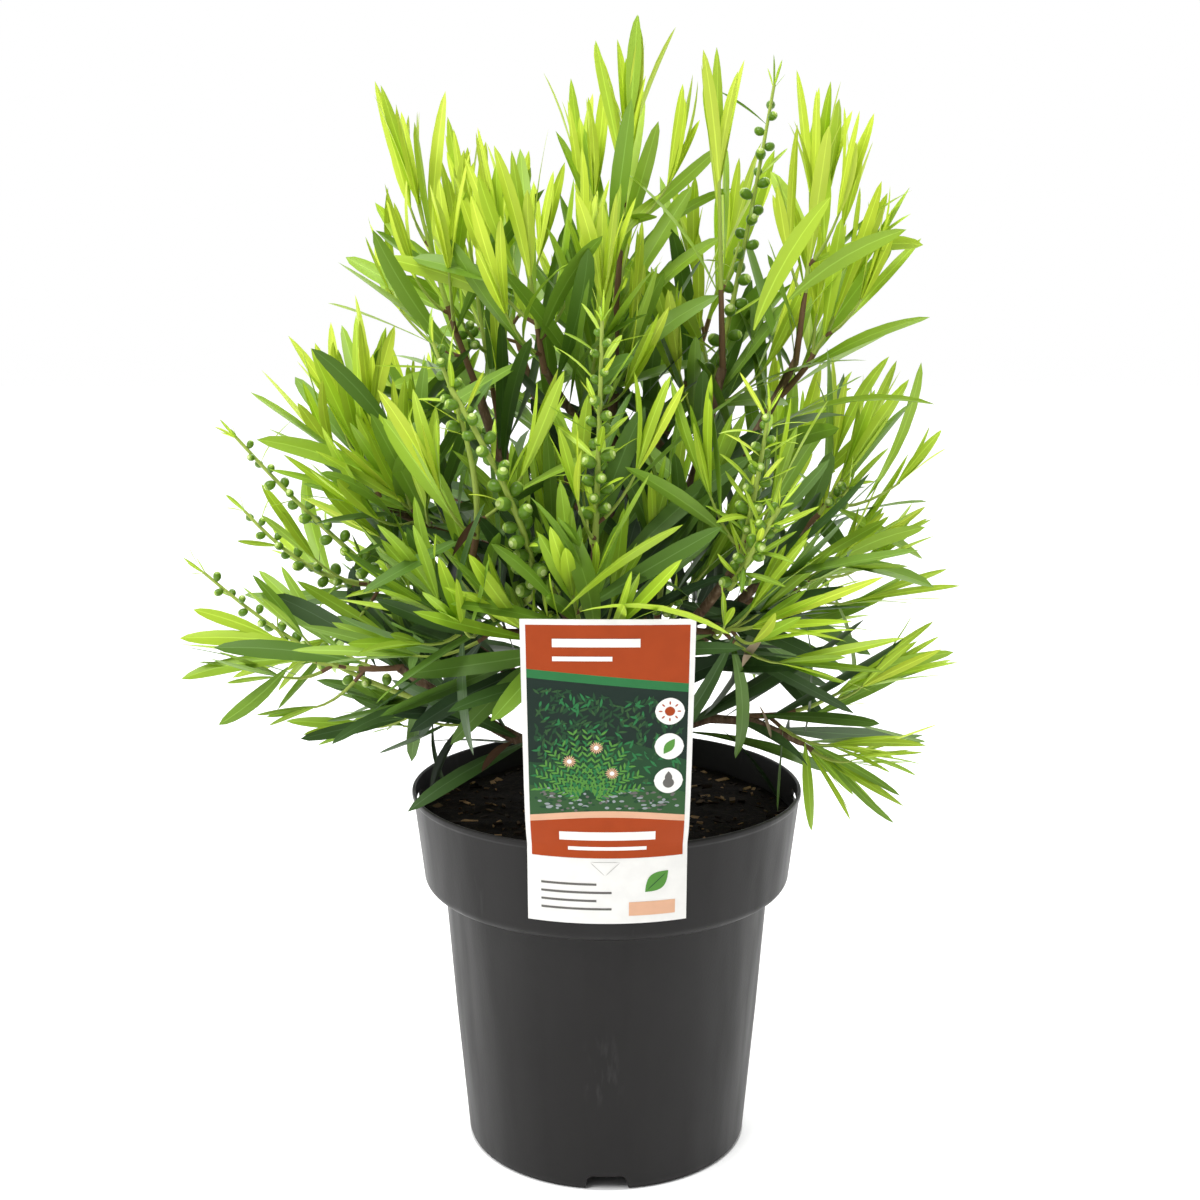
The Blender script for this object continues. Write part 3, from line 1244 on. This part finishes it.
def soil_height(x, y):
    """The surface of the mix: uneven, a little lower at the wall and heaped round the trunk."""
    radius = math.hypot(x, y)
    rough = noise.noise(Vector((x, y, 3.0)) * 0.035) + 0.6 * noise.noise(Vector((x, y, 9.0)) * 0.11)
    rough += 0.35 * noise.noise(Vector((x, y, 5.0)) * 0.31)
    edge = max(0.0, (radius - 70.0) / 25.0)
    return SOIL_LEVEL - 1.2 + SOIL_RIPPLE * rough - 1.8 * edge + 2.0 * math.exp(-((radius / 16.0) ** 2))


def build_soil():
    """The mix's relief, with its side and its underside."""
    points = []
    for k in range(SOIL_RINGS):
        radius = SOIL_CORE + (SOIL_EDGE - SOIL_CORE) * k / (SOIL_RINGS - 1)
        points += circle(radius, SOIL_SIDES, soil_height)
    below = (
        (COLLAR_FOOT_RADIUS - WALL, 144.7),
        (BODY_TOP_RADIUS - WALL, 139.8),
        (BODY_FOOT_RADIUS - WALL, 10.0),
        (DRAIN_INNER_RADIUS - FLOOR, 10.0),
        (DRAIN_INNER_RADIUS - FLOOR, 2.3),
        (SOIL_CORE, 2.3),
    )
    for radius, z in below:
        points += circle(radius - CLEAR, SOIL_SIDES, z + CLEAR)
    parts = Parts()
    parts.add(points, grid_faces(SOIL_RINGS + len(below), SOIL_SIDES, closed=True)[:, ::-1])
    hand_over(parts.build("soil_surface", [soil_material()]), "potting_mix", "potting_mix")


def build_chips():
    """Bark chips that lie on the mix."""
    rng = random.Random("bark chips")
    chips = Parts()
    box = np.array([(x, y, z) for x in (-1, 1) for y in (-1, 1) for z in (-1, 1)], float)
    sides = np.array([(0, 1, 3, 2), (4, 6, 7, 5), (0, 4, 5, 1), (2, 3, 7, 6), (0, 2, 6, 4), (1, 5, 7, 3)])
    for _ in range(CHIPS):
        radius = CHIPS_TO * math.sqrt(rng.random())
        angle = rng.uniform(0.0, math.tau)
        x, y = radius * math.cos(angle), radius * math.sin(angle)
        length = rng.uniform(*CHIP_LENGTH) * (0.5 + 0.5 * rng.random())
        size = np.array([length, length * rng.uniform(0.16, 0.6), rng.uniform(0.5, 1.3)]) / 2
        turn = Matrix.Rotation(rng.uniform(0, math.tau), 3, "Z") @ Matrix.Rotation(rng.gauss(0, 0.3), 3, "X")
        jitter = np.array([[rng.uniform(0.72, 1.1) for _ in range(3)] for _ in box])
        shape = (box * jitter * size) @ np.array(turn).T + (x, y, soil_height(x, y) + size[2] * 0.7)
        chips.add(shape, sides, rng.randrange(len(CHIP_TINTS)))
    surfaces = [material(f"chip_{k}", tint, 0.9, 0.1) for k, tint in enumerate(CHIP_TINTS)]
    hand_over(chips.build("bark_chips", surfaces, smooth=False), "potting_mix")


# The label


def label_centre_y(z):
    """How far towards the viewer the label's inner face is at its middle, at a height."""
    foot_y = -(collar_radius(LABEL_FOOT_Z) + LABEL_STANDOFF)
    rim_y = -(RIM_RADIUS + LABEL_STANDOFF)
    below = (rim_y - foot_y) / (POT_HEIGHT - LABEL_FOOT_Z)
    above = (-LABEL_TOP_REACH - rim_y) / (LABEL_TOP_Z - POT_HEIGHT)
    past = z - POT_HEIGHT
    if abs(past) < LABEL_BEND:
        return rim_y + below * past + (above - below) * (past + LABEL_BEND) ** 2 / (4 * LABEL_BEND)
    return rim_y + (below if past < 0 else above) * past


def label_point(across, z, out):
    """A point of the sheet: bent round the collar below the rim, and flatter the higher it is above."""
    rise = max(0.0, (z - POT_HEIGHT) / (LABEL_TOP_Z - POT_HEIGHT))
    bend_radius = RIM_RADIUS * (1.0 + LABEL_FLATTEN * rise) + out
    angle = across / RIM_RADIUS / (1.0 + LABEL_FLATTEN * rise)
    y = label_centre_y(z) - out + bend_radius * (1.0 - math.cos(angle))
    return Vector((bend_radius * math.sin(angle), y, z))


def printed(parts, left, right, low, high, layer, rows=14):
    """A printed shape on the label, between two heights that may depend on the place across it."""
    out = LABEL_THICKNESS + PRINT_STEP * layer
    points = []
    for j in range(rows + 1):
        for i in range(LABEL_COLUMNS + 1):
            x = left + (right - left) * i / LABEL_COLUMNS
            bottom = low(x) if callable(low) else low
            top = high(x) if callable(high) else high
            points.append(label_point(x, LABEL_FOOT_Z + bottom + (top - bottom) * j / rows, out))
    parts.add(points, grid_faces(rows + 1, LABEL_COLUMNS + 1))


def printed_leaf(parts, x, height, length, width, angle, layer, rows=8, point=1.0):
    """A printed leaf about a place on the label, turned from level. A low point makes it an oval."""
    out = LABEL_THICKNESS + PRINT_STEP * layer
    points = []
    for j in range(rows + 1):
        half = width / 2 * math.sin(math.pi * j / rows) ** point
        along = length * (j / rows - 0.5)
        for side in (-1, 0, 1):
            u = x + along * math.cos(angle) - side * half * math.sin(angle)
            v = height + along * math.sin(angle) + side * half * math.cos(angle)
            points.append(label_point(u, LABEL_FOOT_Z + v, out))
    parts.add(points, grid_faces(rows + 1, 3))


def printed_disc(parts, x, height, radius, layer):
    printed_leaf(parts, x, height, 2 * radius, 2 * radius, 0.0, layer, rows=20, point=0.5)


def printed_line(parts, start, end, width, layer):
    """A straight printed line between two places on the label."""
    across, up = end[0] - start[0], end[1] - start[1]
    place = ((start[0] + end[0]) / 2, (start[1] + end[1]) / 2)
    length, angle = math.hypot(across, up), math.atan2(up, across)
    printed_leaf(parts, *place, length, width, angle, layer, rows=6, point=0.12)


def sheet_of_label(card):
    """The card itself: a thin closed sheet, and the tongue that hooks through the pot's front slot."""
    columns, rows = LABEL_COLUMNS, LABEL_ROWS
    points = []
    for out in (0.0, LABEL_THICKNESS):
        for j in range(rows + 1):
            for i in range(columns + 1):
                z = LABEL_FOOT_Z + (LABEL_TOP_Z - LABEL_FOOT_Z) * j / rows
                points.append(label_point(LABEL_WIDTH * (i / columns - 0.5), z, out))
    wide = columns + 1
    layer = wide * (rows + 1)
    back = grid_faces(rows + 1, wide)[:, ::-1]
    front = grid_faces(rows + 1, wide) + layer
    rim = list(range(wide))
    rim += [row * wide + columns for row in range(1, rows + 1)]
    rim += [layer - 1 - i for i in range(1, wide)]
    rim += [row * wide for row in range(rows - 1, 0, -1)]
    edge = [(a, b, layer + b, layer + a) for a, b in zip(rim, rim[1:] + rim[:1])]
    parts = Parts()
    parts.add(points, np.concatenate([back, front, edge]))
    half = TONGUE_WIDTH / 2
    foot = SLOT_LOW + 2 * CLEAR
    start = label_centre_y(foot) - 0.1
    tongue = []
    for k in range(9):
        reach = TONGUE_REACH * k / 8
        narrow = half * (1.0 - 0.45 * k / 8)
        drop = 0.9 * math.sin(math.pi * k / 8) * 0.3
        thick = TONGUE_THICKNESS * 0.8
        corners = [(-narrow, 0.0), (narrow, 0.0), (narrow, thick), (-narrow, thick)]
        tongue += [(x, start + reach, foot + z + drop) for x, z in corners]
    parts.add(tongue, grid_faces(9, 4, closed=True))
    sheet = parts.build("label_sheet", [card])
    sheet.data.set_sharp_from_angle(angle=math.radians(40))
    return sheet


def header_foot(x):
    """Where the label's header ends. It slants a little."""
    return LABEL_HEIGHT - 27.0 - 0.10 * x


def band_top(x):
    """The bowed top of the band under the picture."""
    return 52.0 + 3.0 * math.sin((x + PRINT_HALF_WIDTH) / (2 * PRINT_HALF_WIDTH) * math.pi)


def print_bands(ink):
    """The coloured bands, the picture's ground and hills, and the bars that stand for words."""
    bands = (
        ("terracotta", header_foot, LABEL_HEIGHT - 2.6, 1, 14),
        ("green", lambda x: header_foot(x) - 4.2, header_foot, 1, 14),
        ("picture", band_top, lambda x: header_foot(x) - 4.2, 1, 24),
        ("hill", band_top, lambda x: 88.0 + 5.0 * math.sin(x / 12.0 + 1.0), 2, 16),
        ("meadow", band_top, lambda x: 68.0 + 3.5 * math.sin(x / 9.0 - 0.6), 3, 14),
        ("terracotta", 33.5, band_top, 4, 14),
        ("peach", band_top, lambda x: band_top(x) + 3.4, 4, 14),
    )
    for colour, low, high, layer, rows in bands:
        printed(ink[colour], -PRINT_HALF_WIDTH, PRINT_HALF_WIDTH, low, high, layer, rows)
    bars = (
        (-24.0, 14.0, LABEL_HEIGHT - 11.0, 4.0),
        (-24.0, 2.0, LABEL_HEIGHT - 18.5, 2.2),
        (-22.0, 22.0, 45.0, 4.4),
        (-18.0, 18.0, 38.5, 1.8),
    )
    for left, right, height, thick in bars:
        printed(ink["white"], left, right, height - thick / 2, height + thick / 2, 5, rows=2)


def print_hedge(ink):
    """The picture's background: a hedge of small leaves in three greens, and pebbles before it."""
    rng = random.Random("printed hedge")
    side = PRINT_HALF_WIDTH - 3.0
    for _ in range(520):
        x = rng.uniform(-side, side)
        height = rng.uniform(72.0, header_foot(x) - 9.0)
        shade = ink[rng.choice(("hill", "hill", "meadow", "green"))]
        shape = (rng.uniform(3.0, 5.5), 1.2, rng.gauss(1.3, 0.8), rng.uniform(3.1, 3.7))
        printed_leaf(shade, x, height, *shape, rows=4)
    for _ in range(150):
        x = rng.uniform(-side, side)
        height = rng.uniform(58.5, 70.0)
        shade = ink[rng.choice(("grey", "pebble", "hill"))]
        size = (rng.uniform(1.2, 3.2), rng.uniform(0.9, 1.6))
        printed_leaf(shade, x, height, *size, 0.0, rng.uniform(3.1, 3.7), rows=6, point=0.6)


def print_shrub(ink):
    """A shrub in the picture: arching shoots from one foot, with leaves in pairs, and a few round blooms."""
    foot = (-9.0, 61.0)
    for k in range(13):
        lean = math.radians(-66 + 11 * k)
        reach = 37.0 - 9.0 * abs(math.sin(lean)) + 2.0 * (k % 2)
        for j in range(3, 14):
            share = j / 13
            x = foot[0] + reach * share * math.sin(lean) * (0.7 + 0.3 * share) * 0.86
            height = foot[1] + reach * share * math.cos(lean * (0.75 + 0.35 * share))
            for side in (-1, 1):
                angle = math.pi / 2 - lean + side * 0.75
                spot = (x + 1.5 * math.cos(angle), height + 1.5 * math.sin(angle))
                shade = ink["mid_green"] if (j + k + side) % 3 else ink["green"]
                printed_leaf(shade, *spot, 3.9, 1.05, angle, 5, rows=4)
    for x, height in ((-17.0, 84.0), (-5.0, 91.0), (2.0, 78.0)):
        for k in range(16):
            angle = math.tau * k / 16
            spot = (x + 1.9 * math.cos(angle), height + 1.9 * math.sin(angle))
            printed_leaf(ink["peach"], *spot, 2.6, 0.55, angle, 6, rows=3)
        printed_disc(ink["white"], x, height, 1.1, 7)


def print_signs(ink):
    """Three round signs: a sun, a leaf and a drop."""
    x = PRINT_HALF_WIDTH - 8.0
    for k in range(3):
        printed_disc(ink["white"], x, 74.0 + 17.5 * k, 6.6, 6)
    printed_disc(ink["terracotta"], x, 109.0, 2.3, 7)
    for k in range(8):
        angle = math.tau * k / 8
        spot = (x + 4.1 * math.cos(angle), 109.0 + 4.1 * math.sin(angle))
        printed_leaf(ink["terracotta"], *spot, 1.9, 0.7, angle, 7, rows=4, point=0.3)
    printed_leaf(ink["mid_green"], x, 91.5, 9.0, 4.2, 1.0, 7)
    printed_disc(ink["grey"], x, 72.8, 2.6, 7)
    printed_leaf(ink["grey"], x, 75.6, 6.4, 3.4, math.pi / 2, 7)


def print_foot(ink):
    """The plain foot: lines of small print, a leaf, a pale box, and the slit of the tongue."""
    for k in range(4):
        printed(ink["grey"], -31.0, 2.0 - 7.0 * (k % 2), 7.0 + 4.2 * k, 8.1 + 4.2 * k, 2, rows=1)
    printed_leaf(ink["mid_green"], 23.0, 21.0, 15.0, 8.5, 0.75, 2, rows=12)
    printed_line(ink["meadow"], (18.5, 16.8), (27.5, 25.2), 0.5, 3)
    printed(ink["peach"], 10.0, 32.0, 4.0, 11.0, 2, rows=1)
    left, foot, right = (-8.0, 31.5), (-1.0, 24.5), (6.0, 31.5)
    for start, end in ((left, foot), (foot, right), (left, right)):
        printed_line(ink["shadow"], start, end, 0.35, 2)


def build_label():
    """The card with a plain generic design in the colours of such labels. It has no words."""
    colours = {
        "terracotta": srgb(168, 66, 20),
        "green": srgb(46, 118, 66),
        "picture": srgb(26, 44, 36),
        "hill": srgb(36, 72, 44),
        "meadow": srgb(52, 88, 50),
        "mid_green": srgb(88, 146, 62),
        "peach": srgb(226, 178, 146),
        "white": srgb(246, 245, 240),
        "grey": srgb(104, 102, 98),
        "pebble": srgb(150, 158, 160),
        "shadow": srgb(196, 195, 190),
    }
    ink = {name: Parts() for name in colours}
    for draw in (print_bands, print_hedge, print_shrub, print_signs, print_foot):
        draw(ink)
    sheet = sheet_of_label(print_ink("label_card", srgb(240, 239, 235)))
    hand_over(sheet, "label_card", "plant_label")
    for name, parts in ink.items():
        surface = print_ink("ink_" + name, colours[name])
        hand_over(parts.build("label_" + name, [surface]), "label_card")


# The studio


def glow_round_pot(made):
    """The floor's glow, which stops at the pot's foot."""
    place = add_node(made, "ShaderNodeTexCoord", {}).outputs["Object"]
    away = add_node(made, "ShaderNodeVectorMath", {0: place}, operation="LENGTH").outputs["Value"]
    inputs = {0: away, 1: BODY_FOOT_RADIUS * MM}
    beyond = add_node(made, "ShaderNodeMath", inputs, operation="GREATER_THAN").outputs["Value"]
    return add_node(made, "ShaderNodeMath", {0: beyond, 1: FLOOR_GLOW}, operation="MULTIPLY").outputs["Value"]


def build_stage():
    """The camera, the floor that glows, the room's light and the lamps."""
    scene = bpy.context.scene
    scene.view_settings.view_transform = "Standard"
    camera = bpy.data.cameras.new("camera")
    camera.lens = CAMERA_LENS
    camera.sensor_width = SENSOR
    holder = add_object("camera", camera)
    holder.location = [c * MM for c in CAMERA_PLACE]
    holder.rotation_euler = (math.pi / 2 - CAMERA_PITCH, 0.0, 0.0)
    scene.camera = holder
    mesh = bpy.data.meshes.new("floor")
    corners = [(x * FLOOR_REACH, y * FLOOR_REACH, 0) for x, y in ((-1, -1), (1, -1), (1, 1), (-1, 1))]
    mesh.from_pydata(corners, [], [(0, 1, 2, 3)])
    white = material("floor_white", (0.84, 0.84, 0.84), 0.6, 0.2)
    white.node_tree.nodes["Principled BSDF"].inputs["Emission Color"].default_value = (1.0, 1.0, 1.0, 1.0)
    feed(white, glow_round_pot(white), "Emission Strength")
    mesh.materials.append(white)
    add_object("floor", mesh)
    scene.world = studio_world()
    for name, place, size, power in LAMPS:
        light = bpy.data.lights.new(name, "AREA")
        light.energy = power
        light.size = size
        lamp = add_object(name, light)
        lamp.location = place
        lamp.rotation_euler = (LAMPS_AIM - Vector(place)).to_track_quat("-Z", "Y").to_euler()


def studio_world():
    """A white room that is dark only on the viewer's side. The camera sees it as plain white."""
    world = bpy.data.worlds.new("studio")
    world.use_nodes = True
    where = add_node(world, "ShaderNodeTexCoord", {}).outputs["Generated"]
    inputs = {0: where, 1: BRIGHT_SIDE}
    behind = add_node(world, "ShaderNodeVectorMath", inputs, operation="DOT_PRODUCT").outputs["Value"]
    inputs = {"From Min": DIM_TO, "From Max": BRIGHT_FROM, "To Min": FRONT_LIGHT, "To Max": ROOM_LIGHT}
    room = add_node(world, "ShaderNodeMapRange", {"Value": behind, **inputs}).outputs["Result"]
    seen = add_node(world, "ShaderNodeLightPath", {}).outputs["Is Camera Ray"]
    light = add_node(world, "ShaderNodeMix", {"Factor": seen, "A": room, "B": 1.0}).outputs["Result"]
    background = world.node_tree.nodes["Background"]
    background.inputs["Color"].default_value = (1.0, 1.0, 1.0, 1.0)
    world.node_tree.links.new(light, background.inputs["Strength"])
    return world


build_stage()
build_pot()
build_soil()
build_chips()
build_label()
limbs = source_limbs()
build_wood(limbs)
build_foliage(limbs)
